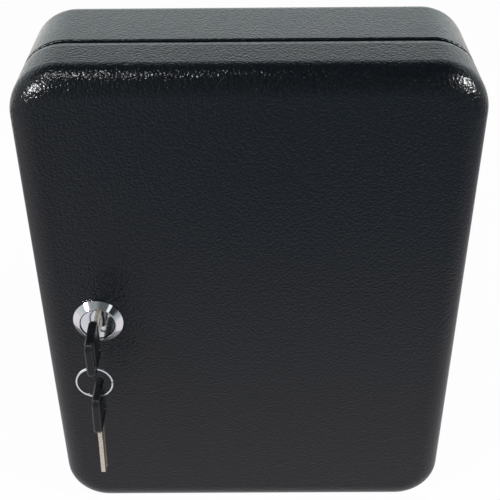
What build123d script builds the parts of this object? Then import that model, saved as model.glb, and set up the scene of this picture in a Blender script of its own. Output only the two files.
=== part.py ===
from build123d import *
import os

# Lockable steel key box for a wall. Millimetres. X runs to the right seen from the front, Z up.
# The origin is on the back face at the centre of the fixing holes, and "out" is the distance in
# front of that face, so out = -Y.

# Box: two pressed shells that meet at the seam
width = 200.0
height = 250.0
depth = 80.0
door_depth = 33.0
sheet = 1.2
corner_radius = 22.0
front_radius = 11.0
back_radius = 10.0
rim_radius = 0.9
seam_gap = 2.8

# Holes for the wall screws
fixing_spacing_x = 120.0
fixing_spacing_z = 150.0
fixing_hole_radius = 3.25

# Collar inside the body that reaches into the door
collar_sheet = 1.0
collar_in_body = 12.0
collar_in_door = 8.0
collar_overlap = 1.4
collar_door_clearance = 0.55
collar_end_inset = 26.0

# Piano hinge on the right
hinge_length = 170.0
leaf_sheet = 1.0
leaf_width = 15.0
hinge_stand = 0.3
knuckle_count = 11
knuckle_gap = 0.4
knuckle_clearance = 0.3
pin_clearance = 0.05
pin_head_height = 0.8
pin_head_overhang = 0.7

# Hook rails and their label strips
rail_count = 4
rail_pitch = 50.0
top_rail_inset = 35.0
rail_side_gap = 16.0
rail_height = 14.0
rail_sheet = 1.0
rail_rivet_inset = 5.0
hooks_per_rail = 7
hook_pitch = 24.0
hook_width = 4.0
hook_reach = 12.0
hook_rise = 6.0
hook_bend_radius = 1.6
hook_tip_radius = 1.6
label_height = 7.0
label_sheet = 0.2
label_end_gap = 8.0
label_edge = 1.0
rivet_radius = 1.6
rivet_head_radius = 3.0
rivet_head_height = 1.1
rivet_crown_radius = 2.0
rivet_sink_radius = 2.5
rivet_sink_depth = 0.8
rivet_hole_clearance = 0.05

# Cam lock: the housing goes through the door, the plug turns in it
lock_inset = 28.0
lock_rise = 1.1
bezel_radius = 11.8
bezel_edge = 0.8
bezel_height = 3.2
bezel_land_radius = 8.95
bezel_land_edge = 0.25
barrel_radius = 9.3
barrel_flats = 16.5
barrel_length = 23.5
door_hole_clearance = 0.1
plug_radius = 6.25
plug_head_radius = 8.25
plug_head_height = 2.0
plug_recess = 0.4
plug_clearance = 0.05
plug_tail_side = 7.0
plug_tail_gap = 0.1
keyway_width = 2.2
keyway_clearance = 0.1
washer_sheet = 0.8
washer_radius = 11.8
washer_teeth = 16
tooth_depth = 1.1
tooth_gap = 2.2
nut_flats = 24.0
nut_height = 4.0
nut_chamfer = 0.9
nut_clearance = 0.1

# Wafers in the plug
wafer_sheet = 1.0
wafer_width = 6.0
wafer_first = 5.0
wafer_pitch = 3.2
wafer_clearance = 0.05
wafer_window_clearance = 0.15
wafer_groove_depth = 1.2
wafer_groove_side_clearance = 0.1
wafer_slot_overcut = 0.5

# Cam, and the bracket that it turns behind
cam_sheet = 2.0
cam_hub_radius = 8.0
cam_width = 12.0
cam_tip_clearance = 1.2
cam_gap = 0.2
cam_socket_clearance = 0.06
cam_washer_radius = 5.6
cam_washer_sheet = 1.0
screw_radius = 2.0
screw_length = 3.6
screw_head_radius = 4.4
screw_head_height = 2.4
screw_head_bevel = 1.2
screw_recess_width = 0.9
screw_recess_length = 4.6
screw_recess_depth = 1.3
strike_sheet = 1.2
strike_width = 22.0
strike_foot = 10.0
strike_lip = 10.8
strike_gap = 0.4
strike_bend_radius = 1.5
strike_notch_clearance = 1.0

# Keys
bow_length = 20.9
bow_width = 19.0
bow_thickness = 3.8
bow_corner_radius = 3.2
bow_chamfer = 0.7
bow_rim = 1.9
bow_recess = 0.35
bow_from_door = 10.8
ring_slot_length = 15.2
ring_slot_width = 3.4
ring_slot_edge = 3.2
ring_slot_chamfer = 0.95
blade_length = 32.4
blade_height = 8.0
blade_thickness = 2.0
neck_height = 8.8
neck_stop_gap = 0.05
tang_length = 8.6
tip_chamfer = 2.4
groove_width = 1.5
groove_depth = 0.5
groove_offset = 1.1
bitting = (2, 4, 1, 3, 2)
bitting_step = 0.42
bitting_land = 1.0
bitting_overcut = 1.0

# Split ring of two turns, and the second key that hangs from it
ring_radius = 8.6
ring_band = 0.7
ring_strip = 0.42
ring_pitch = 0.48
ring_turns = 2
ring_seat_gap = 0.2
key_2_hang_gap = 0.65
key_2_hang_angle = 6.0
key_2_lean = 2.0

# Places worked out from the sizes above
seam_out = depth - door_depth
body_rim_out = seam_out - seam_gap / 2
door_rim_out = seam_out + seam_gap / 2
inside_x = width / 2 - sheet
door_inside_out = depth - sheet

knuckle_radius = hinge_stand + sheet + leaf_sheet
knuckle_bore_radius = knuckle_radius - leaf_sheet
knuckle_room = knuckle_radius + knuckle_clearance
pin_radius = knuckle_bore_radius - pin_clearance
hinge_x = width / 2 + hinge_stand
knuckle_pitch = hinge_length / knuckle_count

rail_front_out = sheet + rail_sheet
rail_length = width - 2 * rail_side_gap
label_length = rail_length - 2 * label_end_gap
top_rail_z = height / 2 - top_rail_inset

lock_x = lock_inset - width / 2
lock_z = lock_rise
bezel_face_out = depth + bezel_height
plug_face_out = bezel_face_out - plug_recess
plug_shoulder_out = plug_face_out - plug_head_height
barrel_end_out = depth - barrel_length
cam_front_out = barrel_end_out - cam_gap
cam_back_out = cam_front_out - cam_sheet
washer_back_out = door_inside_out - washer_sheet
strike_x = collar_sheet - inside_x
strike_inner_x = strike_x + strike_sheet
strike_lip_out = cam_front_out + strike_gap
strike_tip_out = strike_lip_out + strike_sheet
cam_reach = lock_x - strike_inner_x - cam_tip_clearance

bow_out = depth + bow_from_door
neck_length = bow_out - plug_face_out - neck_stop_gap
key_tip_out = bow_out - blade_length
keyway_end_out = key_tip_out - keyway_clearance
ring_slot_from_bow = bow_length - ring_slot_edge - ring_slot_width / 2
ring_out = bow_out + ring_slot_from_bow
ligament_top_z = lock_z - ring_slot_length / 2
ring_mean_radius = ring_radius - ring_band / 2
ring_z = ligament_top_z + ring_seat_gap + ring_band / 2 - ring_mean_radius
key_2_bow_rise = ring_band / 2 + key_2_hang_gap + ring_slot_edge


def facing(out):
    """Drawing plane parallel to the wall, at a distance in front of it, seen from the front."""
    return Plane.XZ.offset(out)


def slab(sketch, out_from, out_to):
    """Sketch seen from the front, thickened from one distance in front of the wall to another."""
    return extrude(facing(out_from) * sketch, out_to - out_from)


def block(x, out, z):
    """Box between pairs of limits."""
    middle = Pos(sum(x) / 2, -sum(out) / 2, sum(z) / 2)
    return middle * Box(abs(x[1] - x[0]), abs(out[1] - out[0]), abs(z[1] - z[0]))


def turned(*corners):
    """Solid turned about the line square to the wall through the origin, from (radius, out)."""
    outline = Polyline(*[(radius, -out) for radius, out in corners], close=True)
    return revolve(make_face(outline), Axis.Y)


def at_lock(shape):
    """Shape drawn about the origin, moved to the lock's axis."""
    return Pos(lock_x, 0, lock_z) * shape


def box_outline(inset):
    """Front outline of the box, drawn in by an inset all round."""
    return RectangleRounded(width - 2 * inset, height - 2 * inset, corner_radius - inset)


def pressed_shell(face_out, rim_out, edge_radius):
    """Open pan with a closed face, drawn corners, a rounded fold and a softened outer rim."""
    pans = []
    for inset in (0, sheet):
        closed_out = face_out + (inset if rim_out > face_out else -inset)
        pan = slab(box_outline(inset), closed_out, rim_out)
        closed_face = pan.faces().sort_by_distance((0, -closed_out, 0))[0]
        pans.append(fillet(closed_face.edges(), edge_radius - inset))
    outer, inner = pans
    rim_face = outer.faces().sort_by_distance((0, -rim_out, 0))[0]
    return fillet(rim_face.edges(), rim_radius) - inner


def hinge_notch():
    """Room for the hinge knuckles in the rims of both shells."""
    reach = hinge_length / 2 + pin_head_height + knuckle_gap
    return block(
        (inside_x - sheet, hinge_x),
        (seam_out - knuckle_room, seam_out + knuckle_room),
        (-reach, reach),
    )


def rail_heights():
    """Centre heights of the hook rails, from the top."""
    return [top_rail_z - row * rail_pitch for row in range(rail_count)]


def rail_rivet_places():
    """Sideways places of the two rivets of a rail."""
    reach = rail_length / 2 - rail_rivet_inset
    return {"left": -reach, "right": reach}


def body_shell():
    """Back shell, with its wall holes, rivet holes and the notch for the hinge."""
    shell = pressed_shell(0, body_rim_out, back_radius) - hinge_notch()
    fixings = GridLocations(fixing_spacing_x, fixing_spacing_z, 2, 2) * Circle(fixing_hole_radius)
    shell -= slab(Sketch() + fixings, 0, sheet)
    for z in rail_heights():
        for x in rail_rivet_places().values():
            shell -= Pos(x, 0, z) * rivet(rivet_hole_clearance)
    return shell


def door_shell():
    """Front shell, with the lock hole and the notch for the hinge."""
    shell = pressed_shell(depth, door_rim_out, front_radius) - hinge_notch()
    return shell - at_lock(slab(barrel_section(door_hole_clearance), door_inside_out, depth))


def inner_collar():
    """Strip round three sides of the body that steps inward and reaches into the door."""
    in_body = slab(
        box_outline(sheet) - box_outline(sheet + collar_sheet), body_rim_out - collar_in_body, body_rim_out
    )
    step = sheet + collar_door_clearance
    in_door = slab(
        box_outline(step) - box_outline(step + collar_sheet),
        body_rim_out - collar_overlap,
        body_rim_out + collar_in_door,
    )
    hinge_side = block((width / 2 - collar_end_inset, width), (0, depth), (-height, height))
    half_notch = strike_width / 2 + strike_notch_clearance
    strike_notch = block(
        (-width / 2, strike_inner_x),
        (body_rim_out - collar_overlap, depth),
        (lock_z - half_notch, lock_z + half_notch),
    )
    return in_body + (in_door - strike_notch) - hinge_side


def strike_bracket():
    """Angle on the body's left side whose lip stands in front of the turned cam."""
    foot_out = body_rim_out - strike_foot
    corners = [
        (strike_x, foot_out),
        (strike_inner_x, foot_out),
        (strike_inner_x, strike_lip_out),
        (strike_x + strike_lip, strike_lip_out),
        (strike_x + strike_lip, strike_tip_out),
        (strike_x, strike_tip_out),
    ]
    section = make_face(Polyline(*[(x, -out) for x, out in corners], close=True))
    bracket = Pos(0, 0, lock_z) * extrude(section, strike_width / 2, both=True)
    bend = bracket.edges().filter_by(Axis.Z).sort_by_distance((strike_x, -strike_tip_out, lock_z))[0]
    bracket = fillet(bend, strike_bend_radius)
    tip_corners = bracket.edges().filter_by(Axis.Y).group_by(Axis.X)[-1]
    return fillet(tip_corners, strike_bend_radius)


def hook():
    """One hook: a tab that runs out from the rail's lower edge and turns up, about x = 0."""
    base_out = sheet
    tip_out = rail_front_out + hook_reach
    corners = [
        (base_out, 0),
        (tip_out, 0),
        (tip_out, hook_rise),
        (tip_out - rail_sheet, hook_rise),
        (tip_out - rail_sheet, rail_sheet),
        (base_out, rail_sheet),
    ]
    section = Plane.YZ * make_face(Polyline(*[(-out, z) for out, z in corners], close=True))
    tab = extrude(section, hook_width / 2, both=True)
    bend = tab.edges().filter_by(Axis.X).sort_by_distance((0, -tip_out, 0))[0]
    tab = fillet(bend, hook_bend_radius)
    top_corners = tab.edges().filter_by(Axis.Y).group_by(Axis.Z)[-1]
    return fillet(top_corners, hook_tip_radius)


def hook_rail():
    """Rail with its row of hooks, about its own centre."""
    strip = slab(Rectangle(rail_length, rail_height), sheet, rail_front_out)
    first = -(hooks_per_rail - 1) / 2 * hook_pitch
    for place in range(hooks_per_rail):
        strip += Pos(first + place * hook_pitch, 0, -rail_height / 2) * hook()
    for x in rail_rivet_places().values():
        strip -= Pos(x, 0, 0) * rivet(rivet_hole_clearance)
    return strip


def rivet(clearance=0):
    """Rivet with a low head on the rail and a countersunk end flush with the back, or its hole."""
    return turned(
        (0, 0),
        (rivet_sink_radius + clearance, 0),
        (rivet_radius + clearance, rivet_sink_depth),
        (rivet_radius + clearance, rail_front_out),
        (rivet_head_radius, rail_front_out),
        (rivet_crown_radius, rail_front_out + rivet_head_height),
        (0, rail_front_out + rivet_head_height),
    )


def label_strip():
    """Paper strip above the hooks of one rail."""
    centre_z = rail_height / 2 - label_edge - label_height / 2
    strip = Rectangle(label_length, label_height)
    return slab(Pos(0, centre_z) * strip, rail_front_out, rail_front_out + label_sheet)


def knuckle_limits(first, step):
    """Lower and upper ends of every second knuckle, from the bottom."""
    ends = []
    for place in range(first, knuckle_count, step):
        low = -hinge_length / 2 + place * knuckle_pitch
        ends.append((low + knuckle_gap / 2, low + knuckle_pitch - knuckle_gap / 2))
    return ends


def hinge_leaf(own_first, side):
    """Leaf with rolled knuckles. Side is 1 for the door's leaf and -1 for the body's."""
    leaf_x = (inside_x - leaf_sheet, inside_x)
    far_out = seam_out + side * (knuckle_room + leaf_width)
    near_out = seam_out + side * knuckle_room
    leaf = block(leaf_x, (near_out, far_out), (-hinge_length / 2, hinge_length / 2))
    for low, high in knuckle_limits(own_first, 2):
        leaf += block(leaf_x, (seam_out, near_out), (low, high))
        rolled = Cylinder(knuckle_radius, high - low) - Cylinder(knuckle_bore_radius, high - low)
        leaf += Pos(hinge_x, -seam_out, (low + high) / 2) * rolled
    return leaf


def hinge_pin():
    """Pin through all the knuckles, with a peened head at each end."""
    pin = Cylinder(pin_radius, hinge_length + knuckle_gap)
    for side in (-1, 1):
        head = Cylinder(pin_radius + pin_head_overhang, pin_head_height)
        pin += Pos(0, 0, side * (hinge_length + knuckle_gap + pin_head_height) / 2) * head
    return Pos(hinge_x, -seam_out, 0) * pin


def barrel_section(clearance):
    """Round section with two flats, larger by a clearance all round."""
    radius = barrel_radius + clearance
    return Circle(radius) & Rectangle(barrel_flats + 2 * clearance, 2 * radius)


def lock_housing():
    """Bevelled ring on the door's face and the double-D barrel behind it, bored for the plug."""
    ring = turned(
        (0, depth),
        (bezel_radius, depth),
        (bezel_radius, depth + bezel_edge),
        (bezel_land_radius, bezel_face_out),
        (bezel_land_radius - bezel_land_edge, bezel_face_out),
        (plug_head_radius, bezel_face_out - bezel_land_edge),
        (0, bezel_face_out - bezel_land_edge),
    )
    barrel = slab(barrel_section(0), barrel_end_out, depth)
    bore = slab(Circle(plug_radius + plug_clearance), barrel_end_out, bezel_face_out)
    head_room = slab(Circle(plug_head_radius + plug_clearance), plug_shoulder_out, bezel_face_out)
    side_width = wafer_width + 2 * wafer_groove_side_clearance
    groove_outline = Rectangle(side_width, 2 * (plug_radius + wafer_groove_depth))
    groove = slab(groove_outline, wafer_outs()[-1] - wafer_sheet, wafer_outs()[0] + wafer_sheet)
    return at_lock(ring + barrel - bore - head_room - groove)


def wafer_outs():
    """Middle of each wafer, from the front."""
    return [plug_face_out - wafer_first - place * wafer_pitch for place in range(len(bitting))]


def lock_plug():
    """Turning plug with its keyway, wafer slots and the square tail that drives the cam."""
    tail_out = cam_back_out + plug_tail_gap
    plug = slab(Circle(plug_radius), barrel_end_out, plug_shoulder_out)
    plug += slab(Circle(plug_head_radius), plug_shoulder_out, plug_face_out)
    plug += slab(Rectangle(plug_tail_side, plug_tail_side), tail_out, barrel_end_out)
    keyway = Rectangle(keyway_width, blade_height + 2 * keyway_clearance)
    plug -= slab(keyway, keyway_end_out, plug_face_out)
    slot = Rectangle(wafer_width + 2 * wafer_clearance, 2 * (plug_radius + wafer_slot_overcut))
    for middle in wafer_outs():
        half = wafer_sheet / 2 + wafer_clearance
        plug -= slab(slot, middle - half, middle + half)
    plug -= slab(Circle(screw_radius), tail_out, cam_back_out + screw_length + cam_gap)
    return at_lock(plug)


def wafer(middle):
    """Thin wafer, flush with the plug while the key is in."""
    outline = Rectangle(wafer_width, 2 * plug_radius) & Circle(plug_radius)
    window_height = blade_height + 2 * (keyway_clearance + wafer_window_clearance)
    window = Rectangle(keyway_width + 2 * wafer_clearance, window_height)
    return at_lock(slab(outline - window, middle - wafer_sheet / 2, middle + wafer_sheet / 2))


def lock_washer():
    """Toothed washer between the nut and the door."""
    root = washer_radius - tooth_depth
    past = washer_radius + tooth_depth
    bite = Polyline((root, 0), (past, -tooth_gap), (past, tooth_gap), close=True)
    outline = Circle(washer_radius) - Circle(barrel_radius + nut_clearance)
    outline -= PolarLocations(0, washer_teeth) * make_face(bite)
    return at_lock(slab(outline, washer_back_out, door_inside_out))


def lock_nut():
    """Hexagon nut with bevelled corners."""
    back_out = washer_back_out - nut_height
    hexagon = RegularPolygon(nut_flats / 2, 6, major_radius=False)
    hexagon -= Circle(barrel_radius + nut_clearance)
    corner = nut_flats / 3 ** 0.5
    bevel = turned(
        (0, back_out),
        (corner - nut_chamfer, back_out),
        (corner, back_out + nut_chamfer / 2),
        (corner, washer_back_out),
        (0, washer_back_out),
    )
    return at_lock(slab(hexagon, back_out, washer_back_out) & bevel)


def cam():
    """Locking arm on the plug's square tail, pointing down while the box is unlocked."""
    bar = Pos(0, -cam_reach / 2) * Rectangle(cam_width, cam_reach) & Circle(cam_reach)
    socket_side = plug_tail_side + 2 * cam_socket_clearance
    socket = Rectangle(socket_side, socket_side)
    return at_lock(slab(bar + Circle(cam_hub_radius) - socket, cam_back_out, cam_front_out))


def cam_washer():
    """Plain washer under the cam screw."""
    outline = Circle(cam_washer_radius) - Circle(screw_radius + cam_gap)
    return at_lock(slab(outline, cam_back_out - cam_washer_sheet, cam_back_out))


def cam_screw():
    """Pan-head screw with a cross recess that holds the cam."""
    seat_out = cam_back_out - cam_washer_sheet
    head_out = seat_out - screw_head_height
    screw = turned(
        (0, head_out),
        (screw_head_radius - screw_head_bevel, head_out),
        (screw_head_radius, head_out + screw_head_bevel),
        (screw_head_radius, seat_out),
        (screw_radius, seat_out),
        (screw_radius, cam_back_out + screw_length),
        (0, cam_back_out + screw_length),
    )
    recess = Rectangle(screw_recess_width, screw_recess_length)
    recess += Rectangle(screw_recess_length, screw_recess_width)
    return at_lock(screw - slab(recess, head_out, head_out + screw_recess_depth))


def key_blade():
    """Metal part of a key. X runs along the key from the bow's near end, with the tip at -X."""
    half = blade_height / 2
    outline = Pos(-blade_length / 2) * Rectangle(blade_length, blade_height)
    outline = chamfer(outline.vertices().group_by(Axis.X)[0], tip_chamfer)
    outline += Pos(-neck_length / 2) * Rectangle(neck_length, neck_height)
    outline += Pos(tang_length / 2) * Rectangle(tang_length, blade_height)
    for place, code in enumerate(bitting):
        middle = -(bow_out - plug_face_out) - wafer_first - place * wafer_pitch
        cut = code * bitting_step
        land = bitting_land / 2
        flank = land + cut + bitting_overcut
        notch = [
            (middle - flank, half + bitting_overcut),
            (middle - land, half - cut),
            (middle + land, half - cut),
            (middle + flank, half + bitting_overcut),
        ]
        outline -= make_face(Polyline(*notch, close=True))
    blade = extrude(outline, blade_thickness / 2, both=True)
    for side in (-1, 1):
        milled = Box(blade_length, groove_width, 2 * groove_depth)
        blade -= Pos(-blade_length / 2, -side * groove_offset, side * blade_thickness / 2) * milled
    return blade


def key_bow():
    """Moulded head of a key, with a raised rim, a slot for the ring and a pocket for the tang."""
    outline = Pos(bow_length / 2) * RectangleRounded(bow_length, bow_width, bow_corner_radius)
    bow = extrude(outline, bow_thickness / 2, both=True)
    flat_faces = bow.faces().filter_by(Axis.Z)
    bow = chamfer(flat_faces.edges(), bow_chamfer)
    recess_corner = bow_corner_radius - bow_rim / 2
    inner = RectangleRounded(bow_length - 2 * bow_rim, bow_width - 2 * bow_rim, recess_corner)
    for side in (-1, 1):
        level = side * (bow_thickness / 2 - bow_recess)
        bow -= Pos(bow_length / 2, 0, level + side * bow_recess) * extrude(inner, bow_recess, both=True)
    slot = Rot(0, 0, 90) * SlotOverall(ring_slot_length, ring_slot_width)
    bow -= Pos(ring_slot_from_bow) * extrude(slot, bow_thickness, both=True)
    flare_level = bow_thickness / 2 - ring_slot_chamfer
    flare = Pos(ring_slot_from_bow, 0, flare_level) * extrude(slot, ring_slot_chamfer, taper=-45)
    bow -= flare
    bow -= mirror(flare, about=Plane.XY)
    tang = Box(tang_length, blade_height, blade_thickness)
    return bow - Pos(tang_length / 2) * tang


def in_lock(shape):
    """Key shape put in the lock, with its bow in front of the door."""
    pushed_in = Plane(origin=(lock_x, -bow_out, lock_z), x_dir=(0, -1, 0), z_dir=(-1, 0, 0))
    return pushed_in.location * shape


def on_ring(shape):
    """Key shape hung from the lower part of the split ring, with the lean that it hangs at."""
    hung = Plane(origin=(0, 0, key_2_bow_rise - bow_length), x_dir=(0, 0, 1), z_dir=(-1, 0, 0))
    ring_middle = Pos(lock_x, -ring_out, ring_z)
    hang_point = ring_middle * Rot(0, -key_2_hang_angle, 0) * Pos(0, 0, -ring_mean_radius)
    return hang_point * Rot(0, key_2_hang_angle + key_2_lean, 0) * hung.location * shape


def key_ring():
    """Split ring: flat strip wound in two close turns, hanging in the first key's slot."""
    coil = Helix(ring_pitch, ring_pitch * ring_turns, ring_mean_radius)
    start = Plane(origin=coil @ 0, x_dir=(1, 0, 0), z_dir=coil % 0)
    band = sweep(start * Rectangle(ring_band, ring_strip), coil, is_frenet=True)
    centred = Pos(0, 0, -ring_pitch * ring_turns / 2) * band
    return Pos(lock_x, -ring_out, ring_z) * Rot(90, 0, 0) * centred


def pieces():
    """Every separate piece of the box, by name."""
    made = {
        "body_shell": body_shell(),
        "inner_collar": inner_collar(),
        "strike_bracket": strike_bracket(),
        "hinge_body_leaf": hinge_leaf(0, -1),
        "hinge_door_leaf": hinge_leaf(1, 1),
        "hinge_pin": hinge_pin(),
        "door_shell": door_shell(),
        "lock_housing": lock_housing(),
        "lock_washer": lock_washer(),
        "lock_nut": lock_nut(),
        "lock_plug": lock_plug(),
        "cam": cam(),
        "cam_washer": cam_washer(),
        "cam_screw": cam_screw(),
        "key_1_blade": in_lock(key_blade()),
        "key_1_bow": in_lock(key_bow()),
        "key_ring": key_ring(),
        "key_2_blade": on_ring(key_blade()),
        "key_2_bow": on_ring(key_bow()),
    }
    for row, z in enumerate(rail_heights(), start=1):
        made[f"hook_rail_{row}"] = Pos(0, 0, z) * hook_rail()
        for side, x in rail_rivet_places().items():
            made[f"rail_rivet_{row}_{side}"] = Pos(x, 0, z) * rivet()
        made[f"label_strip_{row}"] = Pos(0, 0, z) * label_strip()
    for place, middle in enumerate(wafer_outs(), start=1):
        made[f"wafer_{place}"] = wafer(middle)
    return made


os.makedirs("parts", exist_ok=True)
for name, piece in pieces().items():
    export_step(piece, f"parts/{name}.step")
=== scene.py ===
"""Finishes, printed hook numbers, barrel thread and studio stage of a lockable key box."""
import math

import bpy
import numpy as np
from bpy.props import FloatProperty, FloatVectorProperty, IntProperty, PointerProperty
from mathutils import Euler, Matrix, Vector


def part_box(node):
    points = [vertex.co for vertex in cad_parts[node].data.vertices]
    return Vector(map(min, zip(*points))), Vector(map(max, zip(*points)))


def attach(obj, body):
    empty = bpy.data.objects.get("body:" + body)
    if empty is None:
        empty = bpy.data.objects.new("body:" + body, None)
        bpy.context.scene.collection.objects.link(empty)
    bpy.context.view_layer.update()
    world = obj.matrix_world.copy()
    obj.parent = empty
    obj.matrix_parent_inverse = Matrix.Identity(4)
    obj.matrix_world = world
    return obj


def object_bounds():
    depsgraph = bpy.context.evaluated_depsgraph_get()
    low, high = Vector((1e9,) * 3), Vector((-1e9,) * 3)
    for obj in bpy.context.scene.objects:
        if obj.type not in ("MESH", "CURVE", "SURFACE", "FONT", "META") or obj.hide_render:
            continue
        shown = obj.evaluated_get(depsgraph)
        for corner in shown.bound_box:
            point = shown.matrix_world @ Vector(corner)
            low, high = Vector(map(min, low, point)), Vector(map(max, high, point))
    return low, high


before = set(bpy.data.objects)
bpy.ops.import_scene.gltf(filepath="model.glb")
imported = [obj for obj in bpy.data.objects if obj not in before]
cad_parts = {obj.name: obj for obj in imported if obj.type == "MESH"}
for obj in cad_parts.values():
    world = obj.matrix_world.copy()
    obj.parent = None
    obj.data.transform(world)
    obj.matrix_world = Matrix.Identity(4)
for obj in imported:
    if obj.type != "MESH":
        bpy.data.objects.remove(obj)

bl_info = {
    "name": "Key Box Looks",
    "version": (1, 0, 0),
    "blender": (4, 5, 0),
    "location": "3D View > Sidebar > Key Box",
    "description": "Finishes, hook numbers and studio stage of a lockable key box",
    "category": "Object",
}

CAD_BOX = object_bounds()
NODES = sorted(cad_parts)
MM = 0.001
WHITE = (1.0, 1.0, 1.0)
BLACK = (0.0, 0.0, 0.0)

# Height of a printed figure as a share of its font size
CAP_HEIGHT = 0.7

# Levels between which the painted shade in the creases of the grain and the specks on the blades come up
CREASE_LEVELS = (0.15, 0.60)
SPECK_LEVELS = (0.57, 0.66)

# Surface of the barrel's thread: rows in a turn, columns round the barrel, distance from the barrel
THREAD_ROWS = 8
THREAD_COLUMNS = 96
THREAD_CLEARANCE = 0.02 * MM

# Points along each side of the floor's grid
FLOOR_POINTS = 3

# Painted reflection tones in which the gloss of the box mirrors the floor; above 1 they are brighter than
# white
NEAR_TONE = (0.77, 0.74, 0.785)
FAR_TONE = (0.31, 0.41, 0.50)
RIGHT_TONE = (0.40, 0.41, 0.45)
DISTANT_TONE = (0.24, 0.29, 0.34)
BEHIND_LEFT_TONE = (1.30, 1.27, 1.23)
BEHIND_RIGHT_TONE = (1.02, 1.00, 0.97)

# Where these tones, a hold on the far one and a painted shadow begin and are reached, in metres from the
# origin
FAR_OUT = (0.17, 0.43)
FAR_HELD_LEFT = (0.10, 0.25)
RIGHT_ACROSS = (0.22, 0.50)
DISTANT_OUT = (0.55, 1.6)
SHADE_LEFT = (0.08, 0.16)
SHADE_BACK = (-0.10, 0.05)
BEHIND_BACK = (0.14, 0.50)
BEHIND_ACROSS = (-0.10, 0.30)

# How much of the far tone is held back on the left, and how much shows of the right tone and the painted
# shadow
FAR_HELD_SHARE = 0.8
RIGHT_SHARE = 0.9
SHADE_SHARE = 0.45

# Brightness of the parts of the room that gloss mirrors, where 1 is white
ROOM_FRONT = 0.12
ROOM_HAZE = 0.12
ROOM_WALL = 0.20
ROOM_CORNER = 0.24
ROOM_WINDOW = 0.9
ROOM_BEHIND = 1.15

# How much the window's post darkens the room in front
POST_SHADE = 0.8

# Brightness of the even light that the room gives, and the tint of all its light
ROOM_LIGHT = 0.35
ROOM_TINT = (0.90, 0.98, 1.0)

# Where each part of the room begins and where it is reached, as parts of a direction of length 1
BEHIND = (-0.3, 0.5)
OVERHEAD = (0.56, 0.80)
WINDOW_LEFT = (0.50, 0.54)
WINDOW_RIGHT = (0.64, 0.66)
POST_RIGHT = (0.80, 0.84)
WALL_RIGHT = (-0.15, 0.10)
WALL_TOP = (0.68, 0.76)
CORNER_LEFT = (0.48, 0.56)
HAZE_TOP = (0.0, 0.30)

# Soft round lamps: name, place and diameter in metres, power in watts
LAMPS = (
    ("lamp_left", (-0.90, -0.77, 0.61), 0.20, 11.0),
    ("lamp_over_left", (-0.40, -0.41, 1.12), 0.12, 2.9),
    ("lamp_right", (1.02, -0.53, 0.70), 0.28, 16.0),
)


def nodes_named(*starts):
    """Names of the frame's nodes that begin with one of the given words."""
    return [name for name in NODES if name.startswith(starts)]


def centre_of(node):
    """Middle of a node's box."""
    low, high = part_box(node)
    return (low + high) / 2


def colour(name, default, description):
    """Linear colour property."""
    return FloatVectorProperty(
        name=name, description=description, default=default, size=3, subtype="COLOR", min=0.0, max=1.0
    )


def length(name, default, description):
    """Length property in metres."""
    return FloatProperty(name=name, description=description, default=default, unit="LENGTH", precision=5)


def factor(name, default, description):
    """Property between nothing and one."""
    return FloatProperty(
        name=name, description=description, default=default, min=0.0, max=1.0, subtype="FACTOR"
    )


def angle(name, degrees, description):
    """Angle property, with its default given in degrees."""
    return FloatProperty(
        name=name, description=description, default=math.radians(degrees), subtype="ANGLE"
    )


def plain_number(name, default, description):
    """Property that is a plain number."""
    return FloatProperty(name=name, description=description, default=default)


class KeyBoxCoat(bpy.types.PropertyGroup):
    """Sizes and colours of the painted pieces."""

    shell: colour("Shell colour", (0.0011, 0.0021, 0.0035), "Black powder coat of the two shells")
    inside: colour("Inner colour", (0.012, 0.0125, 0.0135), "Satin coat of the collar, strike and hinge")
    rails: colour("Rail colour", (0.50, 0.51, 0.52), "Pale coat of the hook rails")
    roughness: factor("Roughness", 0.20, "Roughness of the shells' coat")
    grain: length("Grain size", 1.3 * MM, "Spacing of the leather-like grain of the shells")
    grain_depth: length("Grain depth", 0.235 * MM, "Height of the grain")
    pebbles: factor("Pebbles", 0.5, "Share of the grain depth that the round pebbles take")
    lumps: factor("Lumps", 0.9, "Share of the grain depth that the small lumps take")
    # Painted shade: how much of the shells' colour is darkened in the creases and lightened on the
    # pebbles
    creases: factor("Creases", 0.8, "Share of the shells' shading that follows the creases")
    body_relief: plain_number("Body relief", 1.15, "Height of the body's grain, where the door's is 1")
    face_relief: factor("Front relief", 0.5, "How much more the grain stands out on the door's front")
    side_relief: factor("Side relief", 0.45, "How much more it stands out on the door's side walls")
    face_edge: length("Front edge", 1.5 * MM, "Depth in which the front's relief builds up")
    fold: length("Fold", 11.0 * MM, "Depth of the fold between the door's front and side walls")
    fold_edge: length("Fold edge", 3.0 * MM, "Depth in which the side walls' relief ends in the fold")
    draft: angle("Draft", 5.0, "Lean of the door's side walls")
    lip: length("Lip width", 2.9 * MM, "Width of the rolled lip at the door's rim")
    lip_drop: length("Lip drop", 0.50 * MM, "How far the rolled lip falls back to the rim")
    rub: factor("Rub", 0.6, "How much the keys rub the hooks at most")
    rub_start: length("Rub start", 9.0 * MM, "Distance from the wall where keys begin to rub the hooks")
    rub_full: length("Rub full", 15.0 * MM, "Distance from the wall where they rub the most")


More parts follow.
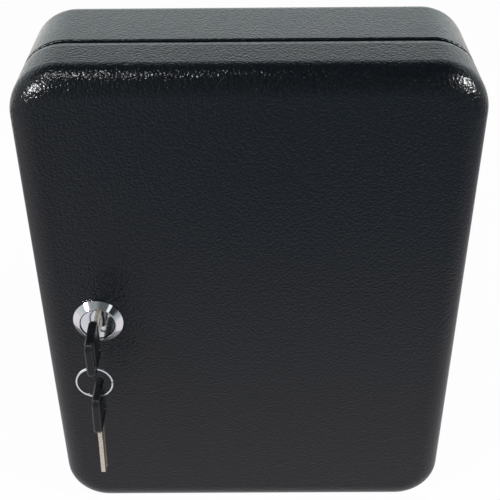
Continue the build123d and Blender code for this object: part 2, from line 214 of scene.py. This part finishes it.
class KeyBoxMetal(bpy.types.PropertyGroup):
    """Sizes and colours of the bare metal and the moulded key heads."""

    chrome: colour("Chrome", (0.92, 0.92, 0.93), "Lock housing and plug")
    blade: colour("Nickel silver", (0.77, 0.715, 0.60), "Key blades")
    stain: colour("Stain", (0.10, 0.07, 0.05), "Scattered specks on the blades")
    stain_cover: factor("Stain cover", 0.75, "How much of the blade's colour a speck covers at most")
    ring: colour("Ring", (0.95, 0.94, 0.94), "Split ring")
    zinc: colour("Zinc", (0.50, 0.52, 0.55), "Cam, nut, washers, screw, rivets and pin")
    brass: colour("Brass", (0.70, 0.52, 0.24), "Wafers")
    bow: colour("Key head", (0.003, 0.0035, 0.004), "Moulded plastic of the key heads")
    bow_edge: length("Key head edge", 0.45 * MM, "Radius that the heads' edges seem to have")
    # Painted shade in the groove round the plug: a darker ring of the chrome's colour, set by the next
    # three values
    grime: factor("Grime", 0.12, "Brightness of the grime round the plug against the chrome")
    grime_radius: length("Grime radius", 8.2 * MM, "Radius of the ring of grime round the plug")
    grime_reach: length("Grime reach", 0.38 * MM, "How far the grime spreads to each side")
    barrel_radius: length("Barrel radius", 9.3 * MM, "Radius of the lock's barrel")
    barrel_flat: length("Barrel flat", 8.25 * MM, "Distance of the barrel's flats from its axis")
    thread_pitch: length("Thread pitch", 1.0 * MM, "Pitch of the thread on the lock's barrel")
    thread_depth: length("Thread depth", 0.252 * MM, "Height of the thread on the lock's barrel")


class KeyBoxLabels(bpy.types.PropertyGroup):
    """Sizes and colours of the printed strips."""

    paper: colour("Paper", (0.80, 0.80, 0.77), "Label film")
    ink: colour("Ink", (0.02, 0.02, 0.022), "Printed numbers and dividers")
    divider: length("Divider", 0.5 * MM, "Width of the line between two fields")
    figure_height: length("Figure height", 4.4 * MM, "Height of the printed numbers")
    figure_lift: length("Figure lift", 0.03 * MM, "How far the figures stand in front of the strip")
    pitch: length("Hook pitch", 24.0 * MM, "Spacing of the hooks")
    hooks: IntProperty(name="Hooks", description="Hooks on each rail", default=7, min=1)


class KeyBoxStage(bpy.types.PropertyGroup):
    """Floor and camera."""

    floor: colour("Floor", (0.55, 0.55, 0.55), "Pale floor")
    floor_size: length("Floor size", 6.0, "Side of the square floor")
    floor_glow: factor("Floor glow", 0.97, "Share of plain white that the camera sees on the floor")
    lens: plain_number("Lens", 70.484, "Focal length in millimetres")
    shift: plain_number("Shift", 0.12, "Upward shift of the picture")
    eye: FloatVectorProperty(
        name="Camera place", description="Place of the camera", default=(0.00224, -0.44658, 0.28364),
        size=3, subtype="TRANSLATION",
    )
    pitch: angle("Camera pitch", 37.063, "Tilt down from level")
    yaw: angle("Camera yaw", 0.388, "Turn to the left")
    roll: angle("Camera roll", -0.556, "Turn about the view")


class KeyBoxSettings(bpy.types.PropertyGroup):
    """Everything that a user may change."""

    coat: PointerProperty(name="Coat", description="Painted pieces", type=KeyBoxCoat)
    metal: PointerProperty(name="Metal", description="Bare metal and key heads", type=KeyBoxMetal)
    labels: PointerProperty(name="Labels", description="Printed strips", type=KeyBoxLabels)
    stage: PointerProperty(name="Stage", description="Floor and camera", type=KeyBoxStage)


class Link:
    """A shader socket. Python's operators on it add the Math nodes of the same meaning."""

    def __init__(self, sheet, socket):
        self.sheet = sheet
        self.socket = socket

    def math(self, operation, *values):
        """One Math node on the given values and links."""
        return self.sheet.node("ShaderNodeMath", {"operation": operation}, dict(enumerate(values)))

    def __add__(self, other):
        return self.math("ADD", self, other)

    def __sub__(self, other):
        return self.math("SUBTRACT", self, other)

    def __rsub__(self, other):
        return self.math("SUBTRACT", other, self)

    def __neg__(self):
        return 0 - self

    def __mul__(self, other):
        return self.math("MULTIPLY", self, other)

    def __truediv__(self, other):
        return self.math("DIVIDE", self, other)

    def __lt__(self, other):
        return self.math("LESS_THAN", self, other)

    __radd__ = __add__
    __rmul__ = __mul__

    def fraction(self):
        """What is left after the whole part is taken away."""
        return self.math("FRACT", self)

    def absolute(self):
        """The value without its sign."""
        return self.math("ABSOLUTE", self)

    def root(self):
        """Square root."""
        return self.math("SQRT", self)

    def clamped(self, low, high):
        """Zero at low, one at high and straight between, held at both ends."""
        inputs = {0: self, 1: low, 2: high, 3: 0.0, 4: 1.0}
        return self.sheet.node("ShaderNodeMapRange", {"clamp": True}, inputs)

    def band(self, rise, fall):
        """One between two soft edges, each given by where it starts and where it ends."""
        return self.clamped(*rise) * (1 - self.clamped(*fall))

    def between(self, low, high):
        """Low where the value is 0, high where it is 1 and straight between."""
        return low + (high - low) * self


class Sheet:
    """Node tree of a material or world that is being drawn up."""

    def __init__(self, owner):
        owner.use_nodes = True
        self.tree = owner.node_tree
        self.tree.nodes.clear()

    def node(self, kind, settings=None, inputs=None, output=0):
        """One node: its settings first, then the values or links of its inputs, by name or place."""
        made = self.tree.nodes.new(kind)
        for name, value in (settings or {}).items():
            setattr(made, name, value)
        for name, value in (inputs or {}).items():
            if isinstance(value, Link):
                self.tree.links.new(value.socket, made.inputs[name])
            else:
                made.inputs[name].default_value = value
        return Link(self, made.outputs[output]) if made.outputs else None

    def place(self):
        """Object coordinates, in metres in the box's own frame."""
        return self.node("ShaderNodeTexCoord", output="Object")

    def along(self, place):
        """The three coordinates of a place."""
        return [self.node("ShaderNodeSeparateXYZ", inputs={0: place}, output=axis) for axis in range(3)]

    def stretched(self, place, scale):
        """Place with each axis scaled."""
        return self.node("ShaderNodeVectorMath", {"operation": "MULTIPLY"}, {0: place, 1: scale})

    def ray(self, kind):
        """One for rays of the given kind, and zero for all others."""
        return self.node("ShaderNodeLightPath", output=f"Is {kind} Ray")

    def noise(self, place, spacing, detail=2.0, roughness=0.5):
        """Soft noise whose lumps are about one spacing apart."""
        inputs = {"Vector": place, "Scale": 1 / spacing, "Detail": detail, "Roughness": roughness}
        return self.node("ShaderNodeTexNoise", {"normalize": True}, inputs)

    def cells(self, place, spacing, smoothness):
        """Distance to the nearest of many scattered points, smoothed so that it rounds into pebbles."""
        inputs = {"Vector": place, "Scale": 1 / spacing, "Smoothness": smoothness}
        return self.node("ShaderNodeTexVoronoi", {"feature": "SMOOTH_F1"}, inputs)

    def blended(self, share, first, second):
        """Colour that goes from first to second as the share goes from 0 to 1."""
        inputs = {0: share, 6: padded(first), 7: padded(second)}
        return self.node("ShaderNodeMix", {"data_type": "RGBA"}, inputs, output=2)

    def shaded(self, share, tone, first, second):
        """Tone times a number that goes from first to second as the share goes from 0 to 1."""
        return self.blended(share, scaled(tone, first), scaled(tone, second))

    def bump(self, height, depth, under=None):
        """Normal of a surface raised by height times depth, which together are in metres."""
        inputs = {"Strength": 1.0, "Distance": depth, "Height": height}
        if under is not None:
            inputs["Normal"] = under
        return self.node("ShaderNodeBump", inputs=inputs)


def scaled(tone, by):
    """Colour with each of its parts multiplied."""
    return [by * part for part in tone]


def padded(value):
    """Colour of three parts with an opaque fourth, or a link as it is."""
    return value if isinstance(value, Link) else (*value, 1.0)


def finish_material(name, draw, **fixed):
    """Material whose draw function gives the varying inputs; fixed ones are set on the shader itself."""
    material = bpy.data.materials.new(name)
    sheet = Sheet(material)
    inputs = {key.replace("_", " "): value for key, value in fixed.items()}
    inputs.update(draw(sheet))
    shader = sheet.node("ShaderNodeBsdfPrincipled", inputs=inputs)
    sheet.node("ShaderNodeOutputMaterial", inputs={"Surface": shader})
    return material


def put_on(material, names):
    """Gives CAD nodes a material through their objects' own slots."""
    for name in names:
        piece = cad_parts[name]
        if not piece.material_slots:
            piece.data.materials.append(None)
        for slot in piece.material_slots:
            slot.link = "OBJECT"
            slot.material = material


def shell_coat(name, coat, relief, rim=None, front=None):
    """Black coat with a soft leather-like grain: round pebbles with creases between them.

    Relief multiplies the height of the grain. Where the distances of a rim and a front from the wall
    are given, the side walls lean in from the one to the other, a rolled lip runs along the rim, and the
    grain stands out more on the flat front and on the side walls. The colour has painted shade in the
    creases and painted light on the pebbles' tops, over a wide tone that varies at random.
    """

    def draw(sheet):
        place = sheet.place()
        drift = sheet.noise(place, spacing=6.0 * coat.grain, detail=1.0)
        pebbles = sheet.cells(place, spacing=coat.grain, smoothness=0.5)
        lumps = sheet.noise(place, spacing=0.75 * coat.grain, detail=1.0)
        wide = sheet.noise(place, spacing=50 * MM)
        height = ((1 - pebbles) * coat.pebbles + lumps * coat.lumps) * (relief * coat.grain_depth)
        if rim is not None:
            out = -sheet.along(place)[1]
            fold = front - coat.fold
            face = out.clamped(front - coat.face_edge, front)
            side = 1 - out.clamped(fold, fold + coat.fold_edge)
            height = height * (1 + coat.face_relief * face + coat.side_relief * side)
            height += out.clamped(rim, rim + coat.lip) * coat.lip_drop - out * math.tan(coat.draft)
        # Painted shade and light: the colour darkens into the creases and lightens on the pebbles' tops,
        # mixed with a wide random tone
        creases = pebbles.clamped(*CREASE_LEVELS)
        crease_shade_and_tone = creases * coat.creases + wide * (1 - coat.creases)
        return {
            "Base Color": sheet.shaded(crease_shade_and_tone, coat.shell, first=1.7, second=0.6),
            "Roughness": drift.between(coat.roughness - 0.05, coat.roughness + 0.05),
            "Normal": sheet.bump(height, depth=1.0),
        }

    return finish_material(name, draw, Specular_IOR_Level=0.38)


def inner_coat(coat):
    """Smooth satin coat with faint orange peel."""

    def draw(sheet):
        place = sheet.place()
        peel = sheet.noise(place, spacing=1.2 * MM)
        wide = sheet.noise(place, spacing=30 * MM)
        return {
            "Base Color": sheet.shaded(wide, coat.inside, first=1.0, second=1.3),
            "Roughness": wide.between(0.34, 0.42),
            "Normal": sheet.bump(peel, depth=0.02 * MM),
        }

    return finish_material("black_inner_coat", draw)


def rail_coat(coat):
    """Pale satin coat that darkens a little where the keys rub on the hooks."""

    def draw(sheet):
        place = sheet.place()
        out = -sheet.along(place)[1]
        patchy = sheet.noise(place, spacing=1.5 * MM, detail=3.0)
        rub = out.clamped(coat.rub_start, coat.rub_full) * patchy
        peel = sheet.noise(place, spacing=1.0 * MM)
        return {
            "Base Color": sheet.shaded(rub * coat.rub, coat.rails, first=1.0, second=0.6),
            "Roughness": peel.between(0.36, 0.46),
            "Normal": sheet.bump(peel, depth=0.02 * MM),
        }

    return finish_material("pale_rail_coat", draw)


def label_film(labels):
    """Matte film with a thin line between the fields of neighbouring hooks."""

    def draw(sheet):
        place = sheet.place()
        field = (sheet.along(place)[0] / labels.pitch).fraction()
        line = (field - 0.5).absolute() < 0.5 * labels.divider / labels.pitch
        fibre = sheet.noise(place, spacing=0.4 * MM)
        paper = sheet.shaded(fibre, labels.paper, first=1.0, second=0.93)
        return {
            "Base Color": sheet.blended(line, paper, labels.ink),
            "Roughness": fibre.between(0.55, 0.65),
            "Normal": sheet.bump(fibre, depth=0.01 * MM),
        }

    return finish_material("label_film", draw)


def printed_ink(labels):
    """Flat dark ink, a little uneven."""

    def draw(sheet):
        patch = sheet.noise(sheet.place(), spacing=0.5 * MM)
        return {
            "Base Color": sheet.shaded(patch, labels.ink, first=1.0, second=1.8),
            "Roughness": patch.between(0.5, 0.6),
        }

    return finish_material("printed_ink", draw)


def plated(name, tone, smooth, hazy, scratch_depth, grime=None):
    """Plated metal: a clear polish with faint haze and fine scratches.

    Its roughness lies between smooth and hazy. A ring of painted shade round an axis along Y, for the
    groove round the lock's plug, darkens its colour where the ring's centre, radius, reach to each side
    and brightness are given.
    """

    def draw(sheet):
        place = sheet.place()
        cloud = sheet.noise(place, spacing=3 * MM, detail=3.0)
        scratch = sheet.noise(place, spacing=0.5 * MM, detail=3.0, roughness=0.6)
        shade = sheet.shaded(cloud, tone, first=1.0, second=0.88)
        if grime is not None:
            centre, radius, reach, brightness = grime
            across, _, up = sheet.along(place)
            aside, above = across - centre.x, up - centre.z
            off_ring = ((aside * aside + above * above).root() - radius).absolute()
            # Painted shade: the chrome's colour darkens in a thin ring over the groove round the plug
            groove_shade_share = 1 - off_ring.clamped(0.5 * reach, reach)
            shade = sheet.blended(groove_shade_share, shade, scaled(tone, brightness))
        return {
            "Base Color": shade,
            "Roughness": cloud.between(smooth, hazy),
            "Normal": sheet.bump(scratch, scratch_depth),
        }

    return finish_material(name, draw, Metallic=1.0)


def blade_metal(metal):
    """Milled blade: a fine grain, drawn out along the edges, with scattered brown specks."""

    def draw(sheet):
        place = sheet.place()
        streaks = sheet.stretched(place, scale=(9.0, 1.0, 1.0))
        brushed = sheet.noise(streaks, spacing=0.35 * MM, detail=3.0, roughness=0.6)
        specks = sheet.noise(place, spacing=0.9 * MM, detail=3.0, roughness=0.7).clamped(*SPECK_LEVELS)
        warm = sheet.noise(place, spacing=6 * MM)
        clean = sheet.shaded(warm, metal.blade, first=1.0, second=0.86)
        return {
            "Base Color": sheet.blended(specks * metal.stain_cover, clean, metal.stain),
            "Roughness": brushed.between(0.24, 0.44),
            "Normal": sheet.bump(brushed, depth=0.02 * MM),
        }

    return finish_material("nickel_silver", draw, Metallic=1.0)


def bow_plastic(metal):
    """Black moulded plastic with a fine spark-eroded grain and softened edges."""

    def draw(sheet):
        place = sheet.place()
        grain = sheet.noise(place, spacing=0.45 * MM)
        scuff = sheet.noise(place, spacing=4 * MM, detail=3.0, roughness=0.6)
        softened = sheet.node("ShaderNodeBevel", inputs={"Radius": metal.bow_edge})
        return {
            "Base Color": sheet.shaded(scuff, metal.bow, first=1.0, second=2.2),
            "Roughness": scuff.between(0.18, 0.34),
            "Normal": sheet.bump(grain, depth=0.02 * MM, under=softened),
        }

    return finish_material("key_plastic", draw, Specular_IOR_Level=0.34)


def mirrored_ground(sheet, place):
    """Colour in which the gloss of the box mirrors the floor.

    These painted reflection tones show only to glossy rays. Near the box it is pale. Further out in
    front, and less so on the left, it turns blue-grey, and darker still in the distance. The right is
    grey, a painted shadow of the box lies on the left beside and behind it, and the ground further behind
    is white or brighter.
    """
    across, back, _ = sheet.along(place)
    out, left = -back, -across
    far = out.clamped(*FAR_OUT) - left.clamped(*FAR_HELD_LEFT) * FAR_HELD_SHARE
    # Painted shadow of the box in the floor's reflection tones, to the left of it and behind it
    shade = left.clamped(*SHADE_LEFT) * back.clamped(*SHADE_BACK) * SHADE_SHARE
    behind = sheet.blended(across.clamped(*BEHIND_ACROSS), BEHIND_LEFT_TONE, BEHIND_RIGHT_TONE)
    mirrored = NEAR_TONE
    for share, tone in (
        (far, FAR_TONE),
        (across.clamped(*RIGHT_ACROSS) * RIGHT_SHARE, RIGHT_TONE),
        (out.clamped(*DISTANT_OUT), DISTANT_TONE),
        (shade, BLACK),
        (back.clamped(*BEHIND_BACK), behind),
    ):
        mirrored = sheet.blended(share, mirrored, tone)
    return mirrored


def pale_floor(stage):
    """Diffuse floor that the camera sees nearly white, and that glows to glossy rays in painted
    reflection tones.
    """
    material = bpy.data.materials.new("pale_floor")
    sheet = Sheet(material)
    place = sheet.place()
    mottle = sheet.noise(place, spacing=50 * MM)
    tone = sheet.shaded(mottle, stage.floor, first=1.0, second=0.99)
    plain = sheet.node("ShaderNodeBsdfDiffuse", inputs={"Color": tone})
    glossy_ray = sheet.ray("Glossy")
    shown = sheet.blended(glossy_ray, WHITE, mirrored_ground(sheet, place))
    glow = sheet.node("ShaderNodeEmission", inputs={"Color": shown, "Strength": 1.0})
    share = sheet.ray("Camera") * stage.floor_glow + glossy_ray
    surface = sheet.node("ShaderNodeMixShader", inputs={0: share, 1: plain, 2: glow})
    sheet.node("ShaderNodeOutputMaterial", inputs={"Surface": surface})
    return material


def mirrored_room(sheet):
    """Brightness of the room that gloss mirrors, by the direction of the ray.

    Behind the box it is white up to a height. In front it is dim, with haze above the floor, a pale wall
    from the middle to the left, a brighter corner further left, and on the right a window beside a dark
    post.
    """
    ray = sheet.node("ShaderNodeTexCoord", output="Generated")
    across, back, up = sheet.along(ray)
    low = 1 - up.clamped(*OVERHEAD)
    haze = ROOM_HAZE * (1 - up.clamped(*HAZE_TOP))
    wall = ROOM_WALL * (1 - across.clamped(*WALL_RIGHT)) * (1 - up.clamped(*WALL_TOP))
    corner = ROOM_CORNER * (-across).clamped(*CORNER_LEFT)
    window = ROOM_WINDOW * across.band(WINDOW_LEFT, WINDOW_RIGHT)
    post = POST_SHADE * across.band(WINDOW_RIGHT, POST_RIGHT)
    front = (ROOM_FRONT + haze + wall + (corner + window) * low) * (1 - post)
    return front + (ROOM_BEHIND - front) * back.clamped(*BEHIND) * low


def grid_mesh(name, points, material, closed_round=True):
    """Piece made of a grid of points, rows by columns, whose columns close up on themselves if asked.

    Its faces point to the side from which the rows follow upwards and the columns to the right.
    """
    rows, columns = points.shape[:2]
    index = np.arange(rows * columns).reshape(rows, columns)
    right = np.roll(index, -1, axis=1)
    if not closed_round:
        index, right = index[:, :-1], right[:, :-1]
    quads = np.stack([index[:-1], right[:-1], right[1:], index[1:]], axis=-1).reshape(-1, 4)
    mesh = bpy.data.meshes.new(name)
    mesh.vertices.add(rows * columns)
    mesh.vertices.foreach_set("co", points.reshape(-1).astype(np.float32))
    mesh.loops.add(quads.size)
    mesh.loops.foreach_set("vertex_index", quads.reshape(-1).astype(np.int32))
    mesh.polygons.add(len(quads))
    mesh.polygons.foreach_set("loop_start", np.arange(0, quads.size, 4, dtype=np.int32))
    mesh.update(calc_edges=True)
    mesh.validate()
    mesh.materials.append(material)
    piece = bpy.data.objects.new(name, mesh)
    bpy.context.scene.collection.objects.link(piece)
    return piece


def looks(context):
    """The key box settings of the scene."""
    return context.scene.key_box


class KEYBOX_OT_shells(bpy.types.Operator):
    """Coat the two pressed shells."""

    bl_idname = "keybox.shells"
    bl_label = "Shells"

    def execute(self, context):
        coat = looks(context).coat
        low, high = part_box("door_shell")
        put_on(shell_coat("body_coat", coat, relief=coat.body_relief), ["body_shell"])
        put_on(shell_coat("door_coat", coat, relief=1.0, rim=-high.y, front=-low.y), ["door_shell"])
        return {"FINISHED"}


class KEYBOX_OT_inside(bpy.types.Operator):
    """Coat the collar, the strike, the hinge leaves and the hook rails."""

    bl_idname = "keybox.inside"
    bl_label = "Inner pieces"

    def execute(self, context):
        coat = looks(context).coat
        put_on(inner_coat(coat), ["inner_collar", "strike_bracket", "hinge_body_leaf", "hinge_door_leaf"])
        put_on(rail_coat(coat), nodes_named("hook_rail"))
        return {"FINISHED"}


class KEYBOX_OT_labels(bpy.types.Operator):
    """Finish the label strips and print a number over every hook."""

    bl_idname = "keybox.labels"
    bl_label = "Label strips"

    def execute(self, context):
        labels = looks(context).labels
        strips = nodes_named("label_strip")
        put_on(label_film(labels), strips)
        ink = printed_ink(labels)
        places = (np.arange(labels.hooks) - (labels.hooks - 1) / 2) * labels.pitch
        number = 1
        for row, strip in enumerate(strips, start=1):
            in_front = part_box(strip)[0].y - labels.figure_lift
            level = centre_of(strip).z
            figures = []
            for across in places:
                figures.append(self.figure(context, labels, number, Vector((across, in_front, level))))
                number += 1
            row_of_figures = self.joined(context, f"printed_numbers_{row}", figures)
            row_of_figures.data.materials.append(ink)
            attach(row_of_figures, "cabinet")
        return {"FINISHED"}

    def figure(self, context, labels, number, middle):
        """Mesh of one number, standing upright and facing the front."""
        text = bpy.data.curves.new(f"figure_{number}", "FONT")
        text.body = str(number)
        text.align_x = "CENTER"
        text.align_y = "CENTER"
        text.size = labels.figure_height / CAP_HEIGHT
        text.resolution_u = 4
        holder = bpy.data.objects.new(text.name, text)
        context.scene.collection.objects.link(holder)
        context.view_layer.update()
        mesh = bpy.data.meshes.new_from_object(holder.evaluated_get(context.evaluated_depsgraph_get()))
        bpy.data.objects.remove(holder)
        bpy.data.curves.remove(text)
        mesh.transform(Matrix.Translation(middle) @ Matrix.Rotation(math.pi / 2, 4, "X"))
        return mesh

    def joined(self, context, name, meshes):
        """One object that takes the place of several meshes."""
        starts = np.cumsum([0] + [len(mesh.vertices) for mesh in meshes])
        corners = [tuple(vertex.co) for mesh in meshes for vertex in mesh.vertices]
        faces = [
            [start + corner for corner in polygon.vertices]
            for start, mesh in zip(starts, meshes)
            for polygon in mesh.polygons
        ]
        whole = bpy.data.meshes.new(name)
        whole.from_pydata(corners, [], faces)
        for mesh in meshes:
            bpy.data.meshes.remove(mesh)
        piece = bpy.data.objects.new(name, whole)
        context.scene.collection.objects.link(piece)
        return piece


class KEYBOX_OT_lock(bpy.types.Operator):
    """Plate the lock, finish its wafers and cut the thread on its barrel."""

    bl_idname = "keybox.lock"
    bl_label = "Cam lock"

    def execute(self, context):
        metal = looks(context).metal
        axis = centre_of("lock_plug")
        # Painted shade in the groove round the plug, laid into the chrome's colour
        grime = (axis, metal.grime_radius, metal.grime_reach, metal.grime)
        chrome = plated(
            "chrome", metal.chrome, smooth=0.04, hazy=0.09, scratch_depth=0.004 * MM, grime=grime
        )
        put_on(chrome, ["lock_housing", "lock_plug"])
        brass = plated("brass", metal.brass, smooth=0.22, hazy=0.32, scratch_depth=0.01 * MM)
        put_on(brass, nodes_named("wafer"))
        thread = self.thread(metal, axis, chrome)
        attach(thread, "door")
        return {"FINISHED"}

    def thread(self, metal, axis, chrome):
        """Threaded sleeve on the barrel, from the nut to its end and cut off at its two flats.

        The radius is that of the barrel, plus a clearance, plus the thread's depth times a triangle wave
        of (distance / pitch - turn). No point stands further out sideways than the flats and the
        clearance. The columns run backwards, so that the faces look outwards.
        """
        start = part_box("lock_nut")[1].y
        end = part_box("lock_housing")[1].y
        rows = int((end - start) / metal.thread_pitch * THREAD_ROWS)
        along = np.linspace(start, end, rows)[:, None]
        turn = np.linspace(0, 1, THREAD_COLUMNS, endpoint=False)[None, ::-1]
        phase = (along - start) / metal.thread_pitch - turn
        wave = np.abs(2 * (phase - np.floor(phase)) - 1)
        radius = metal.barrel_radius + THREAD_CLEARANCE + metal.thread_depth * wave
        flat = metal.barrel_flat + THREAD_CLEARANCE
        side = np.clip(radius * np.cos(2 * math.pi * turn), -flat, flat)
        height = radius * np.sin(2 * math.pi * turn)
        points = np.stack([axis.x + side, along + 0 * turn, axis.z + height], axis=-1)
        return grid_mesh("barrel_thread", points, chrome)


class KEYBOX_OT_keys(bpy.types.Operator):
    """Finish the two keys and their ring."""

    bl_idname = "keybox.keys"
    bl_label = "Keys and ring"

    def execute(self, context):
        metal = looks(context).metal
        put_on(blade_metal(metal), ["key_1_blade", "key_2_blade"])
        put_on(bow_plastic(metal), ["key_1_bow", "key_2_bow"])
        ring = plated("ring_steel", metal.ring, smooth=0.12, hazy=0.24, scratch_depth=0.008 * MM)
        put_on(ring, ["key_ring"])
        return {"FINISHED"}


class KEYBOX_OT_fasteners(bpy.types.Operator):
    """Finish the zinc-plated fasteners, the cam and the hinge pin."""

    bl_idname = "keybox.fasteners"
    bl_label = "Fasteners"

    def execute(self, context):
        metal = looks(context).metal
        zinc = plated("zinc_steel", metal.zinc, smooth=0.26, hazy=0.40, scratch_depth=0.012 * MM)
        put_on(zinc, nodes_named("rail_rivet", "cam", "lock_nut", "lock_washer", "hinge_pin"))
        return {"FINISHED"}


class KEYBOX_OT_stage(bpy.types.Operator):
    """Set up the floor, the white surroundings, the lamps and the camera."""

    bl_idname = "keybox.stage"
    bl_label = "Stage"

    def execute(self, context):
        stage = looks(context).stage
        self.floor(stage)
        self.surroundings(context)
        self.lamps(context)
        self.camera(context, stage)
        context.scene.view_settings.view_transform = "Standard"
        return {"FINISHED"}

    def floor(self, stage):
        """Square floor under the box: a flat grid at the height of the box's lowest point."""
        half = stage.floor_size / 2
        reach = np.linspace(-half, half, FLOOR_POINTS)
        grid = np.stack(np.meshgrid(reach, reach, [CAD_BOX[0].z]), axis=-1)
        points = grid.reshape(FLOOR_POINTS, FLOOR_POINTS, 3)
        grid_mesh("floor", points, pale_floor(stage), closed_round=False)

    def surroundings(self, context):
        """Plain white to the camera, a room to the gloss, and a dim even light to the rest."""
        world = bpy.data.worlds.new("studio")
        context.scene.world = world
        sheet = Sheet(world)
        camera_ray, glossy_ray = sheet.ray("Camera"), sheet.ray("Glossy")
        other_ray = 1 - camera_ray - glossy_ray
        strength = camera_ray + glossy_ray * mirrored_room(sheet) + other_ray * ROOM_LIGHT
        tint = sheet.blended(camera_ray, ROOM_TINT, WHITE)
        lit = sheet.node("ShaderNodeBackground", inputs={"Color": tint, "Strength": strength})
        sheet.node("ShaderNodeOutputWorld", inputs={"Surface": lit})

    def lamps(self, context):
        """Lamps, each turned towards the frame's origin."""
        for name, place, diameter, power in LAMPS:
            light = bpy.data.lights.new(name, "AREA")
            light.shape = "DISK"
            light.size = diameter
            light.energy = power
            lamp = bpy.data.objects.new(name, light)
            lamp.location = place
            lamp.rotation_euler = (-Vector(place)).to_track_quat("-Z", "Y").to_euler()
            context.scene.collection.objects.link(lamp)

    def camera(self, context, stage):
        """Camera above the front, looking down at the box."""
        data = bpy.data.cameras.new("camera")
        data.lens = stage.lens
        data.shift_y = stage.shift
        data.clip_start = 10 * MM
        camera = bpy.data.objects.new("camera", data)
        level = math.pi / 2 - stage.pitch
        turn = Euler((level, 0, stage.yaw)).to_matrix() @ Matrix.Rotation(stage.roll, 3, "Z")
        camera.matrix_world = Matrix.Translation(stage.eye) @ turn.to_4x4()
        context.scene.collection.objects.link(camera)
        context.scene.camera = camera


class KEYBOX_PT_panel(bpy.types.Panel):
    """Lists the steps in the order in which they run."""

    bl_label = "Key Box"
    bl_idname = "KEYBOX_PT_panel"
    bl_space_type = "VIEW_3D"
    bl_region_type = "UI"
    bl_category = "Key Box"

    def draw(self, context):
        for step in STEPS:
            self.layout.operator(step.bl_idname)


STEPS = (
    KEYBOX_OT_shells,
    KEYBOX_OT_inside,
    KEYBOX_OT_labels,
    KEYBOX_OT_lock,
    KEYBOX_OT_keys,
    KEYBOX_OT_fasteners,
    KEYBOX_OT_stage,
)
GROUPS = (KeyBoxCoat, KeyBoxMetal, KeyBoxLabels, KeyBoxStage, KeyBoxSettings)
CLASSES = GROUPS + STEPS + (KEYBOX_PT_panel,)


def register():
    """Makes the settings, steps and panel known to Blender."""
    for cls in CLASSES:
        bpy.utils.register_class(cls)
    bpy.types.Scene.key_box = PointerProperty(
        name="Key box", description="Sizes and colours of the key box", type=KeyBoxSettings
    )


def unregister():
    """Takes them away again."""
    del bpy.types.Scene.key_box
    for cls in reversed(CLASSES):
        bpy.utils.unregister_class(cls)


def main():
    """Runs every step in order."""
    register()
    for step in STEPS:
        group, word = step.bl_idname.split(".")
        getattr(getattr(bpy.ops, group), word)()


if __name__ == "__main__":
    main()
